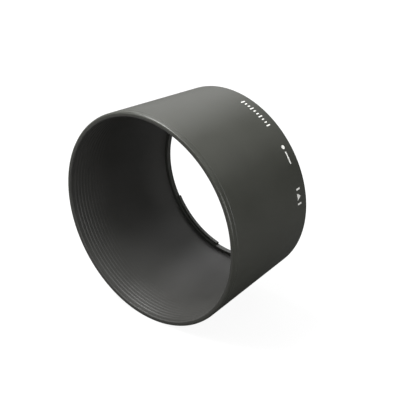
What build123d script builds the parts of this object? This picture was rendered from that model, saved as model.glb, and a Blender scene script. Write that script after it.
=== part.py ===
"""Bayonet lens hood, taken to be for a telephoto zoom lens with a 62 mm filter thread.

The optical axis lies along Y. The front opening faces -Y, the bayonet faces +Y, and the
origin is the centre of the bayonet, on the plane of the hood's rear face. +Z is up.
Angles about the axis start at +Z and grow towards +X. All sizes are in millimetres.
"""
import os
from math import cos, degrees, radians, sin

from build123d import *

# ---- the collar is taken to pass over the lens's front ring, and it sets the rear end's size
collar_radius = 33.7           # bore of the bayonet ring

# ---- bayonet ring, seated in a counterbore at the rear of the shell
ring_thickness = 2.0
ring_width = 4.75              # from the bore to the outside of the ring
ring_clearance = 0.05          # radial, ring to counterbore
ring_edge_break = 0.2
lug_height = 0.85              # the lugs stand this far in from the collar
lug_thickness = 1.3
lug_span = 47.0                # degrees
lug_angles = [-145.2, -25.2, 94.8]
lug_end_rounding = 0.4

# ---- hood shell
hood_length = 49.8
front_radius = 44.6            # outside of the front rim
front_wall = 2.1               # thickness of the wall at the front rim
rear_wall = 1.0                # thickness of the wall around the bayonet ring
step_inside_throat = 1.3       # width of the ring's front face left showing inside the hood
rim_rounding = 1.1             # outer edge of the front rim
mouth_edge_break = 0.3         # inner edge of the front rim
rear_chamfer = 0.45

# fine groove that sets off the front rim
rim_groove_depth = 0.15
rim_groove_width = 0.7
rim_band_width = 2.0           # from the front face to the groove

# light-trap steps inside the mouth: each is a tread along the axis and a riser facing forward
step_pitch = 1.47
step_count = 10                # each lower than the one before it, down to the smooth wall
first_step = 2.25              # from the front face to the crest of the first riser
riser_length = 0.35
step_depth = 0.10              # foot of the first riser, outside the smooth cone

# ---- screws that hold the ring to the shell, one behind each lug
screw_edge_distance = 1.55     # from the ring's outside to a screw's axis
thread_radius = 0.7
head_radius = 1.1
head_recess = 0.1              # head top below the ring's rear face
screw_grip = 3.5               # thread length in the shell
pilot_clearance = 0.02
pilot_extra_depth = 0.6
shank_clearance = 0.1
recess_slot_width = 0.3
recess_slot_length = 1.2
recess_slot_depth = 0.35

# ---- click springs: bent steel leaves in pockets of the ring, between the lugs
click_angles = [34.8, 154.8]
leaf_thickness = 0.3
leaf_arm = 21.0                # degrees from nose to root
leaf_tail = 5.0                # degrees from nose to free end
nose_height = 0.4              # the nose stands this far in from the collar
nose_half_base = 3.2           # degrees
nose_half_tip = 0.7            # degrees
root_tab_length = 1.4
leaf_gap = 0.1                 # leaf to the pocket's inner wall
leaf_side_gap = 0.15           # leaf to the pocket's floor and to the shell's seat
click_travel = 0.85            # outward travel of the nose
collar_wall = 1.9              # between the collar and the pockets
pocket_floor_thickness = 0.5
pocket_margin = 0.25           # past the leaf's outermost place
slot_gap = 0.15                # root tab to its slot
window_margin = 0.9            # degrees each side of the nose

# ---- paint-filled index marks in the shell's outer surface, near the rear edge
mark_depth = 0.15
mark_height = 2.2              # along the optical axis
mark_middle = -5.1             # middle of the marks along the optical axis
tick_width = 0.5
tick_count = 10
tick_start = 14.6              # degrees
tick_end = 35.3                # degrees
lock_dot_radius = 0.85
lock_dot_angle = 50.2
lock_bar_angle = 56.8
lock_bar_length = 5.2
lock_bar_width = 0.7
fit_arrow_angle = 79.8
fit_arrow_width = 3.0
fit_bar_width = 0.8
fit_bar_offset = 4.4           # degrees from the arrow to each bar beside it

# ---- worked out from the sizes above
ring_radius = collar_radius + ring_width
lug_radius = collar_radius - lug_height
screw_circle = ring_radius - screw_edge_distance
counterbore_radius = ring_radius + ring_clearance
rear_radius = counterbore_radius + rear_wall
throat_radius = collar_radius + step_inside_throat
mouth_radius = front_radius - front_wall
shell_front = -hood_length
seat_depth = -ring_thickness
outer_slope = (front_radius - rear_radius) / hood_length
inner_slope = (mouth_radius - throat_radius) / (hood_length - ring_thickness)
pocket_inner_radius = collar_radius + collar_wall
pocket_floor = -pocket_floor_thickness
leaf_radius = pocket_inner_radius + leaf_gap + leaf_thickness / 2
leaf_rear = pocket_floor - leaf_side_gap
leaf_width = leaf_rear - seat_depth - leaf_side_gap
nose_radius = collar_radius - nose_height + leaf_thickness / 2
pocket_outer_radius = leaf_radius + leaf_thickness / 2 + click_travel + pocket_margin


def outer_radius(y):
    """Radius of the shell's outer cone at a place along the optical axis."""
    return rear_radius - outer_slope * y


def inner_radius(y):
    """Radius of the shell's smooth inner cone at a place along the optical axis."""
    return mouth_radius - inner_slope * (y - shell_front)


def at(radius, angle):
    """Point (X, Z) at a radius and an angle from +Z towards +X."""
    return (radius * sin(radians(angle)), radius * cos(radians(angle)))


def arc(radius, first_angle, last_angle):
    """Arc about the optical axis, drawn on the XZ plane from one angle to another."""
    return CenterArc((0, 0), radius, 90 - first_angle, first_angle - last_angle)


def sector_block(radius_in, radius_out, first_angle, last_angle, front, rear):
    """Solid annular sector about the optical axis, from front to rear."""
    with BuildPart() as block:
        with BuildSketch(Plane.XZ.offset(-rear)):
            with BuildLine():
                outside = arc(radius_out, first_angle, last_angle)
                inside = arc(radius_in, first_angle, last_angle)
                Line(outside @ 0, inside @ 0)
                Line(outside @ 1, inside @ 1)
            make_face()
        extrude(amount=rear - front)
    return block.part


def surface_plane(angle):
    """Plane square to a radius, at the middle of the marks, its X along the surface."""
    x, z = at(outer_radius(mark_middle), angle)
    return Plane(
        origin=(x, mark_middle, z),
        x_dir=(cos(radians(angle)), 0, -sin(radians(angle))),
        z_dir=(sin(radians(angle)), 0, cos(radians(angle))),
    )


# ======== hood shell
step_points = []
for number in range(step_count):
    crest = shell_front + first_step + number * step_pitch
    foot = crest - riser_length
    undercut = (1 - number / step_count) * step_depth
    step_points.append((inner_radius(foot) + undercut, foot))
    step_points.append((inner_radius(crest), crest))

groove_front = shell_front + rim_band_width
groove_rear = groove_front + rim_groove_width
groove_middle = (groove_front + groove_rear) / 2
shell_profile = [
    (mouth_radius + mouth_edge_break, shell_front),
    (inner_radius(shell_front + mouth_edge_break), shell_front + mouth_edge_break),
    *step_points,
    (throat_radius, seat_depth),
    (counterbore_radius, seat_depth),
    (counterbore_radius, 0),
    (rear_radius - rear_chamfer, 0),
    (outer_radius(-rear_chamfer), -rear_chamfer),
    (outer_radius(groove_rear), groove_rear),
    (outer_radius(groove_middle) - rim_groove_depth, groove_middle),
    (outer_radius(groove_front), groove_front),
]
rim_corner = (front_radius, shell_front)

screw_points = [at(screw_circle, angle) for angle in lug_angles]

# the band of surface that the paint fills, cut into marks below
with BuildPart() as mark_band:
    with BuildSketch(Plane.XY):
        band_front = mark_middle - mark_height
        band_rear = mark_middle + mark_height
        Polygon(
            (outer_radius(band_front), band_front),
            (outer_radius(band_rear), band_rear),
            (outer_radius(band_rear) - mark_depth, band_rear),
            (outer_radius(band_front) - mark_depth, band_front),
            align=None,
        )
    revolve(axis=Axis.Y)

tick_step = (tick_end - tick_start) / (tick_count - 1)
with BuildPart() as tick_marks_inlay:
    for number in range(tick_count):
        long_tick = number % 3 == 0
        with BuildSketch(surface_plane(tick_start + number * tick_step)):
            Rectangle(tick_width, mark_height if long_tick else mark_height * 0.6)
        extrude(amount=1, both=True)
    add(mark_band.part, mode=Mode.INTERSECT)
tick_marks_inlay.part.label = "tick_marks_inlay"

with BuildPart() as lock_mark_inlay:
    with BuildSketch(surface_plane(lock_dot_angle)):
        Circle(lock_dot_radius)
    extrude(amount=1, both=True)
    with BuildSketch(surface_plane(lock_bar_angle)):
        Rectangle(lock_bar_length, lock_bar_width)
    extrude(amount=1, both=True)
    add(mark_band.part, mode=Mode.INTERSECT)
lock_mark_inlay.part.label = "lock_mark_inlay"

with BuildPart() as fit_mark_inlay:
    with BuildSketch(surface_plane(fit_arrow_angle)):
        Polygon(
            (-fit_arrow_width / 2, -mark_height / 2),
            (fit_arrow_width / 2, -mark_height / 2),
            (0, mark_height / 2),
            align=None,
        )
    extrude(amount=1, both=True)
    for side in (-1, 1):
        with BuildSketch(surface_plane(fit_arrow_angle + side * fit_bar_offset)):
            Rectangle(fit_bar_width, mark_height)
        extrude(amount=1, both=True)
    add(mark_band.part, mode=Mode.INTERSECT)
fit_mark_inlay.part.label = "fit_mark_inlay"

with BuildPart() as hood_shell:
    with BuildSketch(Plane.XY) as shell_section:
        with BuildLine():
            Polyline(*shell_profile, rim_corner, close=True)
        make_face()
        rim_vertex = shell_section.vertices().sort_by_distance(rim_corner)[0]
        fillet(rim_vertex, radius=rim_rounding)
    revolve(axis=Axis.Y)
    with BuildSketch(Plane.XZ.offset(ring_thickness)):
        with Locations(*screw_points):
            Circle(thread_radius + pilot_clearance)
    extrude(amount=screw_grip + pilot_extra_depth, mode=Mode.SUBTRACT)
    for inlay in (tick_marks_inlay, lock_mark_inlay, fit_mark_inlay):
        add(inlay.part, mode=Mode.SUBTRACT)
hood_shell.part.label = "hood_shell"

# ======== bayonet ring
lug_blocks = []
for angle in lug_angles:
    first = angle - lug_span / 2
    last = angle + lug_span / 2
    block = sector_block(lug_radius, collar_radius + 0.5, first, last, -lug_thickness, 0)
    lug_blocks.append(block)

pocket_blocks = []
for angle in click_angles:
    root = angle + leaf_arm
    free_end = angle - leaf_tail - degrees(leaf_gap / leaf_radius) - 1.0
    middle = angle + leaf_arm / 2
    middle_radius = pocket_outer_radius - click_travel * 0.45
    slot_half = degrees((leaf_thickness / 2 + slot_gap) / leaf_radius)
    slot_outer = leaf_radius + root_tab_length + slot_gap
    window_half = nose_half_base + window_margin
    pocket_blocks += [
        sector_block(
            pocket_inner_radius, pocket_outer_radius, free_end, middle, seat_depth, pocket_floor
        ),
        sector_block(
            pocket_inner_radius, middle_radius, middle, root + slot_half, seat_depth, pocket_floor
        ),
        sector_block(
            pocket_inner_radius, slot_outer, root - slot_half, root + slot_half,
            seat_depth, pocket_floor,
        ),
        sector_block(
            lug_radius, pocket_inner_radius + 0.1, angle - window_half, angle + window_half,
            seat_depth, pocket_floor,
        ),
    ]

ring_profile = [
    (collar_radius, seat_depth),
    (ring_radius - ring_edge_break, seat_depth),
    (ring_radius, seat_depth + ring_edge_break),
    (ring_radius, -ring_edge_break),
    (ring_radius - ring_edge_break, 0),
    (collar_radius, 0),
]
screw_planes = [Plane(origin=(x, 0, z), z_dir=(0, 1, 0)) for x, z in screw_points]
with BuildPart() as bayonet_ring:
    with BuildSketch(Plane.XY):
        Polygon(*ring_profile, align=None)
    revolve(axis=Axis.Y)
    for block in lug_blocks:
        add(block)
    lug_corners = (
        bayonet_ring.edges()
        .filter_by(Axis.Y)
        .filter_by(lambda edge: Vector(edge.center().X, 0, edge.center().Z).length < lug_radius + 0.05)
    )
    fillet(lug_corners, radius=lug_end_rounding)
    for block in pocket_blocks:
        add(block, mode=Mode.SUBTRACT)
    with Locations(*screw_planes):
        CounterSinkHole(
            radius=thread_radius + shank_clearance,
            counter_sink_radius=head_radius + pilot_clearance + head_recess,
            counter_sink_angle=90,
        )
bayonet_ring.part.label = "bayonet_ring"

# ======== ring screws, countersunk, with crossed slots
head_height = head_radius - thread_radius
screw_length = ring_thickness + screw_grip - head_recess
with BuildPart() as ring_screws:
    with BuildSketch(Plane.XZ.offset(head_recess)):
        with Locations(*screw_points):
            Circle(head_radius)
    extrude(amount=head_height, taper=45)
    with BuildSketch(Plane.XZ.offset(head_recess)):
        with Locations(*screw_points):
            Circle(thread_radius)
    extrude(amount=screw_length - thread_radius / 2)
    with BuildSketch(Plane.XZ.offset(head_recess + screw_length - thread_radius / 2)):
        with Locations(*screw_points):
            Circle(thread_radius)
    extrude(amount=thread_radius / 2, taper=45)
    with BuildSketch(Plane.XZ.offset(head_recess)):
        with Locations(*screw_points):
            Rectangle(recess_slot_length, recess_slot_width)
            Rectangle(recess_slot_width, recess_slot_length)
    extrude(amount=recess_slot_depth, mode=Mode.SUBTRACT)
ring_screws.part.label = "ring_screws"


# ======== click springs
def bent_leaf(angle):
    """Leaf with its nose at this angle and its root tab turned outwards."""
    root = angle + leaf_arm
    with BuildPart() as leaf:
        with BuildSketch(Plane.XZ.offset(-leaf_rear)):
            with BuildLine():
                tail = arc(leaf_radius, angle - leaf_tail, angle - nose_half_base)
                tip = arc(nose_radius, angle - nose_half_tip, angle + nose_half_tip)
                arm = arc(leaf_radius, angle + nose_half_base, root)
                Line(tail @ 1, tip @ 0)
                Line(tip @ 1, arm @ 0)
                Line(arm @ 1, at(leaf_radius + root_tab_length, root))
            trace(line_width=leaf_thickness)
        extrude(amount=leaf_width)
    return leaf.part


click_spring_upper = bent_leaf(click_angles[0])
click_spring_upper.label = "click_spring_upper"
click_spring_lower = bent_leaf(click_angles[1])
click_spring_lower.label = "click_spring_lower"

# ======== export
os.makedirs("parts", exist_ok=True)
export_step(hood_shell.part, "parts/hood_shell.step")
export_step(bayonet_ring.part, "parts/bayonet_ring.step")
export_step(ring_screws.part, "parts/ring_screws.step")
export_step(click_spring_upper, "parts/click_spring_upper.step")
export_step(click_spring_lower, "parts/click_spring_lower.step")
export_step(tick_marks_inlay.part, "parts/tick_marks_inlay.step")
export_step(lock_mark_inlay.part, "parts/lock_mark_inlay.step")
export_step(fit_mark_inlay.part, "parts/fit_mark_inlay.step")
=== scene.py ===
"""Looks of the bayonet lens hood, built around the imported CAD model.

Everything is in metres. The optical axis lies along Y, the front opening faces -Y, and +Z is up.
Angles about the axis start at +Z and grow towards +X.
"""
from math import acos, cos, pi, radians, sin, tan

import bpy
from mathutils import Matrix, Vector


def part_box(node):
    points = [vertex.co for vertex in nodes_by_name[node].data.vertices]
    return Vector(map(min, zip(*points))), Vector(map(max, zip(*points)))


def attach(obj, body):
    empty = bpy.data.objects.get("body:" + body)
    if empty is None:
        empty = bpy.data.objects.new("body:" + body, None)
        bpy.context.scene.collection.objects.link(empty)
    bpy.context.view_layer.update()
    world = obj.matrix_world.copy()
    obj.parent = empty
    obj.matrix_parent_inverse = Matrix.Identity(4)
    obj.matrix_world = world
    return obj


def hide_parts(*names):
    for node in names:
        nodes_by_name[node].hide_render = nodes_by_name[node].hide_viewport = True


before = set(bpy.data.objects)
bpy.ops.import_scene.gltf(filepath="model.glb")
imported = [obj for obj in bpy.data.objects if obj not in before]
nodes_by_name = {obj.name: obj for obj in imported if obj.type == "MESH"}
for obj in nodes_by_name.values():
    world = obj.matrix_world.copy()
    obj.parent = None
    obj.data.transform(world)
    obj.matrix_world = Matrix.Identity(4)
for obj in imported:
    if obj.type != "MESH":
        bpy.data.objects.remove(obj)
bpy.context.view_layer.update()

MM = 0.001
TURN = 2 * pi

# ---- sizes of the shell, as in the CAD model
shell_low, shell_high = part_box("hood_shell")
ring_low, ring_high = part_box("bayonet_ring")
hood_length = -shell_low[1]
ring_radius = ring_high[2]
ring_thickness = -ring_low[1]
collar_radius = 33.7 * MM
front_radius = 44.6 * MM
rear_radius = 39.5 * MM
front_wall = 2.1 * MM
ring_clearance = 0.05 * MM
step_inside_throat = 1.3 * MM
rim_rounding = 1.1 * MM         # as asked for: on the narrow face the mesh's arc is 0.73 mm
mouth_edge_break = 0.3 * MM
rear_chamfer = 0.45 * MM
rim_groove_depth = 0.15 * MM
rim_groove_width = 0.7 * MM
rim_band_width = 2.0 * MM
step_pitch = 1.47 * MM
step_count = 10
first_step = 2.25 * MM
riser_length = 0.35 * MM
step_depth = 0.10 * MM
fine_rounding = 0.05 * MM

# ---- sizes of the painted index marks, as in the CAD model
paint_depth = 0.15 * MM
paint_proud = 0.02 * MM
mark_height = 2.2 * MM
mark_middle = -5.1 * MM
tick_width = 0.5 * MM
tick_count = 10
long_tick_every = 3
short_tick_share = 0.6          # of a long tick's height
tick_start = 14.6               # mark angles are in degrees
tick_end = 35.3
lock_dot_radius = 0.85 * MM
lock_dot_angle = 50.2
lock_bar_angle = 56.8
lock_bar_length = 5.2 * MM
lock_bar_width = 0.7 * MM
fit_arrow_angle = 79.8
fit_arrow_width = 3.0 * MM
fit_bar_width = 0.8 * MM
fit_bar_offset = 4.4            # degrees, arrow to bar
column_width = 0.4 * MM         # fine enough for a flat-sided mark to follow the cone
arrow_point = 0.03 * MM         # height left at the arrow's blunt tips

counterbore_radius = ring_radius + ring_clearance
throat_radius = collar_radius + step_inside_throat
mouth_radius = front_radius - front_wall
outer_slope = (front_radius - rear_radius) / hood_length
inner_slope = (mouth_radius - throat_radius) / (hood_length - ring_thickness)
shell_front = -hood_length
seat_depth = -ring_thickness

# ---- edge roundings of the visual shell
face_rounding = 0.12 * MM
edge_rounding = 0.1 * MM
groove_rounding = 0.15 * MM

# ---- grain and wear of the plastic
cloud_size = 14 * MM
grain_size = 0.32 * MM
grain_depth = 0.02 * MM
grain_strength = 0.35
wall_middle_front = 43.4 * MM   # radius that parts the outside of the wall from its inside
wall_middle_rear = 37.4 * MM
wall_blend = 0.4 * MM
polish_full = 0.9 * MM          # handling has polished the rim this far from the front face
polish_end = 1.6 * MM


def outer_radius(y):
    """Radius of the shell's outer cone at a place along the optical axis."""
    return rear_radius - outer_slope * y


def inner_radius(y):
    """Radius of the shell's smooth inner cone at a place along the optical axis."""
    return mouth_radius - inner_slope * (y - shell_front)


# ======== mesh helpers
def rounded_outline(corners, arc_steps=4, arc_share=0.45):
    """Closed outline (radius, y) with every corner (radius, y, rounding) turned into an arc.

    An arc takes at most arc_share of either side, so beside a short side it is tighter than asked.
    """
    points = []
    for index, (radius, y, rounding) in enumerate(corners):
        here = Vector((radius, y))
        before = Vector(corners[index - 1][:2]) - here
        after = Vector(corners[(index + 1) % len(corners)][:2]) - here
        half_angle = acos(max(-1, min(1, before.normalized().dot(after.normalized())))) / 2
        longest = arc_share * min(before.length, after.length)
        reach = min(rounding / tan(half_angle), longest)
        middle = (before.normalized() + after.normalized()).normalized()
        centre = here + middle * reach / cos(half_angle)
        start = here + before.normalized() * reach - centre
        end = here + after.normalized() * reach - centre
        sweep = start.angle_signed(end)
        for step in range(arc_steps + 1):
            turned = Matrix.Rotation(-sweep * step / arc_steps, 2) @ start
            points.append(centre + turned)
    return points


def new_piece(name, vertices, faces, sharp_angle=35):
    """Mesh object from vertices and faces, smooth except at edges sharper than the angle."""
    mesh = bpy.data.meshes.new(name)
    mesh.from_pydata(vertices, [], faces)
    mesh.validate()
    mesh.shade_smooth()
    mesh.set_sharp_from_angle(angle=radians(sharp_angle))
    piece = bpy.data.objects.new(name, mesh)
    bpy.context.collection.objects.link(piece)
    return piece


def lathe(name, outline, segments=288):
    """Closed ring made by turning a closed outline (radius, y) about the optical axis."""
    vertices = []
    for segment in range(segments):
        angle = TURN * segment / segments
        vertices += [(r * sin(angle), y, r * cos(angle)) for r, y in outline]
    count = len(outline)
    faces = []
    for segment in range(segments):
        this_row = segment * count
        next_row = (segment + 1) % segments * count
        for index in range(count):
            following = (index + 1) % count
            faces.append(
                (this_row + index, this_row + following, next_row + following, next_row + index)
            )
    return new_piece(name, vertices, faces)


def box_columns(width, height):
    """Columns (across, low, high) of a rectangle."""
    count = max(2, round(width / column_width))
    return [
        (width * (index / count - 0.5), -height / 2, height / 2) for index in range(count + 1)
    ]


def disc_columns(radius, count=20):
    """Columns of a disc, its two ends left very slightly blunt."""
    columns = []
    for index in range(count + 1):
        turn = pi * (0.02 + 0.96 * index / count)
        columns.append((-radius * cos(turn), -radius * sin(turn), radius * sin(turn)))
    return columns


def arrow_columns(width, height, count=12):
    """Columns of a triangle that points to the rear."""
    columns = []
    for index in range(count + 1):
        across = width * (index / count - 0.5)
        top = height / 2 - height * abs(across) / (width / 2)
        columns.append((across, -height / 2, max(top, -height / 2 + arrow_point)))
    return columns


def painted_marks(name, marks):
    """Paint fillings (angle in degrees, columns) that follow the shell's outer cone."""
    vertices = []
    faces = []
    for mark_angle, columns in marks:
        base = len(vertices)
        for across, low, high in columns:
            angle = radians(mark_angle) + across / outer_radius(mark_middle)
            for along, height in (
                (low, paint_proud), (high, paint_proud), (high, -paint_depth), (low, -paint_depth)
            ):
                y = mark_middle + along
                radius = outer_radius(y) + height
                vertices.append((radius * sin(angle), y, radius * cos(angle)))
        for index in range(len(columns) - 1):
            near = base + 4 * index
            for side in range(4):
                after = (side + 1) % 4
                faces.append((near + side, near + after, near + 4 + after, near + 4 + side))
        last = base + 4 * (len(columns) - 1)
        faces.append((base + 3, base + 2, base + 1, base))
        faces.append((last, last + 1, last + 2, last + 3))
    return new_piece(name, vertices, faces)


# ======== materials
class Nodes:
    """Short way to build one material's node tree."""

    def __init__(self, name):
        self.material = bpy.data.materials.new(name)
        self.material.use_nodes = True
        self.tree = self.material.node_tree
        self.shader = self.tree.nodes["Principled BSDF"]
        self.position = self.tree.nodes.new("ShaderNodeTexCoord").outputs["Object"]

    def link(self, source, target):
        self.tree.links.new(source, target)

    def noise(self, grain, detail):
        """Noise whose features are about this many metres across."""
        node = self.tree.nodes.new("ShaderNodeTexNoise")
        node.inputs["Scale"].default_value = 1 / grain
        node.inputs["Detail"].default_value = detail
        self.link(self.position, node.inputs["Vector"])
        return node.outputs["Fac"]

    def ramp(self, source, low, high, out_low, out_high):
        """source from low to high becomes out_low to out_high, held beyond them."""
        node = self.tree.nodes.new("ShaderNodeMapRange")
        node.inputs["From Min"].default_value = low
        node.inputs["From Max"].default_value = high
        node.inputs["To Min"].default_value = out_low
        node.inputs["To Max"].default_value = out_high
        self.link(source, node.inputs["Value"])
        return node.outputs["Result"]

    def maths(self, operation, first, second):
        """Sum, difference, product or the like of two node outputs."""
        node = self.tree.nodes.new("ShaderNodeMath")
        node.operation = operation
        self.link(first, node.inputs[0])
        self.link(second, node.inputs[1])
        return node.outputs["Value"]

    def along_and_from_axis(self):
        """Place along the optical axis, and distance from it."""
        split = self.tree.nodes.new("ShaderNodeSeparateXYZ")
        self.link(self.position, split.inputs["Vector"])
        x, y, z = split.outputs
        square = self.maths("ADD", self.maths("MULTIPLY", x, x), self.maths("MULTIPLY", z, z))
        root = self.tree.nodes.new("ShaderNodeMath")
        root.operation = "SQRT"
        self.link(square, root.inputs[0])
        return y, root.outputs["Value"]

    def mix_colour(self, factor, colour_a, colour_b):
        """Colour between two colours, each a tuple or another node's output."""
        node = self.tree.nodes.new("ShaderNodeMix")
        node.data_type = "RGBA"
        self.link(factor, node.inputs["Factor"])
        for socket, colour in ((node.inputs["A"], colour_a), (node.inputs["B"], colour_b)):
            if isinstance(colour, tuple):
                socket.default_value = (*colour, 1.0)
            else:
                self.link(colour, socket)
        return node.outputs["Result"]

    def bump(self, height, strength, distance):
        """Normal disturbed by a height that is the given distance deep."""
        node = self.tree.nodes.new("ShaderNodeBump")
        node.inputs["Strength"].default_value = strength
        node.inputs["Distance"].default_value = distance
        self.link(height, node.inputs["Height"])
        return node.outputs["Normal"]


def moulded_plastic(name, dark, light, roughness):
    """Black plastic with a fine spark-eroded grain and faint cloudy handling marks."""
    nodes = Nodes(name)
    cloud = nodes.noise(cloud_size, detail=3)
    grain = nodes.noise(grain_size, detail=1)
    nodes.link(
        nodes.mix_colour(nodes.ramp(cloud, 0.3, 0.7, 0, 1), dark, light),
        nodes.shader.inputs["Base Color"],
    )
    nodes.link(
        nodes.ramp(cloud, 0.3, 0.7, roughness - 0.03, roughness + 0.03),
        nodes.shader.inputs["Roughness"],
    )
    nodes.link(nodes.bump(grain, grain_strength, grain_depth), nodes.shader.inputs["Normal"])
    return nodes.material


def shell_plastic_material(name):
    """Olive black outside, neutral black inside, with a rim that handling has polished."""
    nodes = Nodes(name)
    cloud = nodes.noise(cloud_size, detail=3)
    cloud_share = nodes.ramp(cloud, 0.3, 0.7, 0, 1)
    grain = nodes.noise(grain_size, detail=1)
    along, from_axis = nodes.along_and_from_axis()
    wall_middle = nodes.ramp(along, shell_front, 0, wall_middle_front, wall_middle_rear)
    outside_share = nodes.ramp(
        nodes.maths("SUBTRACT", from_axis, wall_middle), -wall_blend, wall_blend, 0, 1
    )
    inside_colour = nodes.mix_colour(
        cloud_share, (0.0395, 0.0392, 0.0362), (0.0455, 0.0452, 0.0420)
    )
    outside_colour = nodes.mix_colour(
        cloud_share, (0.0385, 0.0398, 0.0328), (0.0443, 0.0457, 0.0380)
    )
    nodes.link(
        nodes.mix_colour(outside_share, inside_colour, outside_colour),
        nodes.shader.inputs["Base Color"],
    )
    rim_share = nodes.ramp(along, shell_front + polish_full, shell_front + polish_end, 1, 0)
    matt = nodes.ramp(cloud, 0.3, 0.7, 0.45, 0.51)
    polish = nodes.maths("MULTIPLY", rim_share, nodes.ramp(grain, 0.3, 0.7, 0.10, 0.16))
    nodes.link(nodes.maths("SUBTRACT", matt, polish), nodes.shader.inputs["Roughness"])
    nodes.link(nodes.bump(grain, grain_strength, grain_depth), nodes.shader.inputs["Normal"])
    return nodes.material


def worn_steel(name, colour, roughness):
    """Rolled steel with fine scratches along the strip."""
    nodes = Nodes(name)
    scratches = nodes.noise(0.2 * MM, detail=4)
    nodes.link(
        nodes.mix_colour(scratches, tuple(0.8 * c for c in colour), colour),
        nodes.shader.inputs["Base Color"],
    )
    nodes.link(
        nodes.ramp(scratches, 0.3, 0.7, roughness - 0.06, roughness + 0.06),
        nodes.shader.inputs["Roughness"],
    )
    nodes.shader.inputs["Metallic"].default_value = 1.0
    return nodes.material


def marking_paint(name):
    """White paint, slightly uneven where it fills the engraving."""
    nodes = Nodes(name)
    blotch = nodes.noise(0.5 * MM, detail=2)
    nodes.link(
        nodes.mix_colour(blotch, (0.72, 0.72, 0.68), (0.88, 0.88, 0.85)),
        nodes.shader.inputs["Base Color"],
    )
    nodes.link(nodes.ramp(blotch, 0.3, 0.7, 0.4, 0.55), nodes.shader.inputs["Roughness"])
    return nodes.material


def give(piece, material):
    """Puts one material on a piece or CAD node."""
    piece.data.materials.clear()
    piece.data.materials.append(material)


shell_plastic = shell_plastic_material("hood_shell_plastic")
ring_plastic = moulded_plastic(
    "bayonet_ring_plastic", (0.0390, 0.0402, 0.0350), (0.0448, 0.0462, 0.0404), 0.42
)
black_steel = worn_steel("black_zinc_steel", (0.12, 0.12, 0.12), 0.4)
spring_steel = worn_steel("spring_steel", (0.6, 0.59, 0.56), 0.3)
white_paint = marking_paint("white_marking_paint")

# ======== hood shell
step_corners = []
for number in range(step_count):
    crest = shell_front + first_step + number * step_pitch
    foot = crest - riser_length
    undercut = (1 - number / step_count) * step_depth
    step_corners.append((inner_radius(foot) + undercut, foot, fine_rounding))
    step_corners.append((inner_radius(crest), crest, fine_rounding))

groove_front = shell_front + rim_band_width
groove_rear = groove_front + rim_groove_width
groove_middle = (groove_front + groove_rear) / 2
mouth_chamfer_end = shell_front + mouth_edge_break
shell_corners = [
    (front_radius, shell_front, rim_rounding),
    (mouth_radius + mouth_edge_break, shell_front, face_rounding),
    (inner_radius(mouth_chamfer_end), mouth_chamfer_end, face_rounding),
    *step_corners,
    (throat_radius, seat_depth, fine_rounding),
    (counterbore_radius, seat_depth, fine_rounding),
    (counterbore_radius, 0, fine_rounding),
    (rear_radius - rear_chamfer, 0, edge_rounding),
    (outer_radius(-rear_chamfer), -rear_chamfer, edge_rounding),
    (outer_radius(groove_rear), groove_rear, edge_rounding),
    (outer_radius(groove_middle) - rim_groove_depth, groove_middle, groove_rounding),
    (outer_radius(groove_front), groove_front, edge_rounding),
]
shell = lathe("hood_shell_moulding", rounded_outline(shell_corners))
give(shell, shell_plastic)
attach(shell, "hood")
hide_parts("hood_shell")

give(nodes_by_name["bayonet_ring"], ring_plastic)
give(nodes_by_name["ring_screws"], black_steel)
give(nodes_by_name["click_spring_upper"], spring_steel)
give(nodes_by_name["click_spring_lower"], spring_steel)

# ======== painted index marks
tick_step = (tick_end - tick_start) / (tick_count - 1)
ticks = []
for number in range(tick_count):
    is_long = number % long_tick_every == 0
    tick_height = mark_height if is_long else mark_height * short_tick_share
    ticks.append((tick_start + number * tick_step, box_columns(tick_width, tick_height)))
painted_groups = {
    "tick_marks": ticks,
    "lock_mark": [
        (lock_dot_angle, disc_columns(lock_dot_radius)),
        (lock_bar_angle, box_columns(lock_bar_length, lock_bar_width)),
    ],
    "fit_mark": [
        (fit_arrow_angle - fit_bar_offset, box_columns(fit_bar_width, mark_height)),
        (fit_arrow_angle, arrow_columns(fit_arrow_width, mark_height)),
        (fit_arrow_angle + fit_bar_offset, box_columns(fit_bar_width, mark_height)),
    ],
}
for group_name, marks in painted_groups.items():
    paint = painted_marks(f"{group_name}_paint", marks)
    give(paint, white_paint)
    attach(paint, "hood")
    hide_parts(f"{group_name}_inlay")

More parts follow.
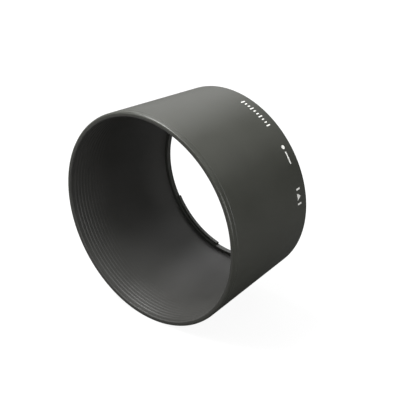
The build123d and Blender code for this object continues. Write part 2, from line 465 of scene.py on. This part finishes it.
# ======== stage: floor, world, lights and camera
floor_size = 3.0                # half of its width
floor_glow = 0.93               # how bright the camera sees it
floor_mesh = bpy.data.meshes.new("floor")
floor_mesh.from_pydata(
    [(x, y, shell_low[2]) for x, y in (
        (-floor_size, -floor_size), (floor_size, -floor_size),
        (floor_size, floor_size), (-floor_size, floor_size),
    )],
    [],
    [(0, 1, 2, 3)],
)
floor = bpy.data.objects.new("floor", floor_mesh)
bpy.context.collection.objects.link(floor)
floor_nodes = Nodes("pale_floor")
floor_nodes.shader.inputs["Base Color"].default_value = (0.1, 0.1, 0.1, 1)
floor_nodes.shader.inputs["Roughness"].default_value = 0.9
floor_nodes.shader.inputs["Specular IOR Level"].default_value = 0.0
floor_nodes.shader.inputs["Emission Color"].default_value = (1, 1, 1, 1)
light_path = floor_nodes.tree.nodes.new("ShaderNodeLightPath")
floor_nodes.link(
    floor_nodes.ramp(light_path.outputs["Is Camera Ray"], 0, 1, 0.0, floor_glow),
    floor_nodes.shader.inputs["Emission Strength"],
)
floor_mesh.materials.append(floor_nodes.material)

scene = bpy.context.scene
scene.view_settings.view_transform = "Standard"
scene.world = bpy.data.worlds.new("studio")
scene.world.use_nodes = True
background = scene.world.node_tree.nodes["Background"]
background.inputs["Color"].default_value = (1, 1, 1, 1)
background.inputs["Strength"].default_value = 0.03

hood_middle = Vector((0, -hood_length / 2, 0))
softbox_distance = 1.0
softbox_size = 0.5


def softbox(name, azimuth, elevation, power):
    """Square area light aimed at the hood. Azimuth 0 is the front (-Y), 90 the right (+X)."""
    light = bpy.data.lights.new(name, "AREA")
    light.shape = "SQUARE"
    light.size = softbox_size
    light.energy = power
    lamp = bpy.data.objects.new(name, light)
    a, e = radians(azimuth), radians(elevation)
    away = Vector((sin(a) * cos(e), -cos(a) * cos(e), sin(e)))
    lamp.location = hood_middle + away * softbox_distance
    lamp.rotation_euler = away.to_track_quat("Z", "Y").to_euler()
    bpy.context.collection.objects.link(lamp)


# name, azimuth and elevation in degrees, power in watts
softboxes = [
    ("key_left", -90, 60, 6),
    ("key_front_left", -50, 60, 12),
    ("key_front", -20, 60, 2),
    ("key_right", 40, 60, 2),
    ("fill_left", -90, 12, 1),
    ("fill_front_left", -45, 12, 2),
    ("fill_front_right", 45, 12, 2),
    ("fill_right", 90, 12, 4),
    ("rim_back_left", -150, 45, 2),
    ("rim_low_left", -138, 15, 1),
    ("rim_back_right", 150, 45, 1),
]
for settings in softboxes:
    softbox(*settings)

camera_data = bpy.data.cameras.new("camera")
camera_data.sensor_width = 36
camera_data.lens = 147.8
camera = bpy.data.objects.new("camera", camera_data)
camera_yaw = radians(41.752)
camera_pitch = radians(27.395)
camera.rotation_euler = (pi / 2 - camera_pitch, 0, camera_yaw)
camera.location = (0.39029, -0.45637, 0.30104)
bpy.context.collection.objects.link(camera)
scene.camera = camera
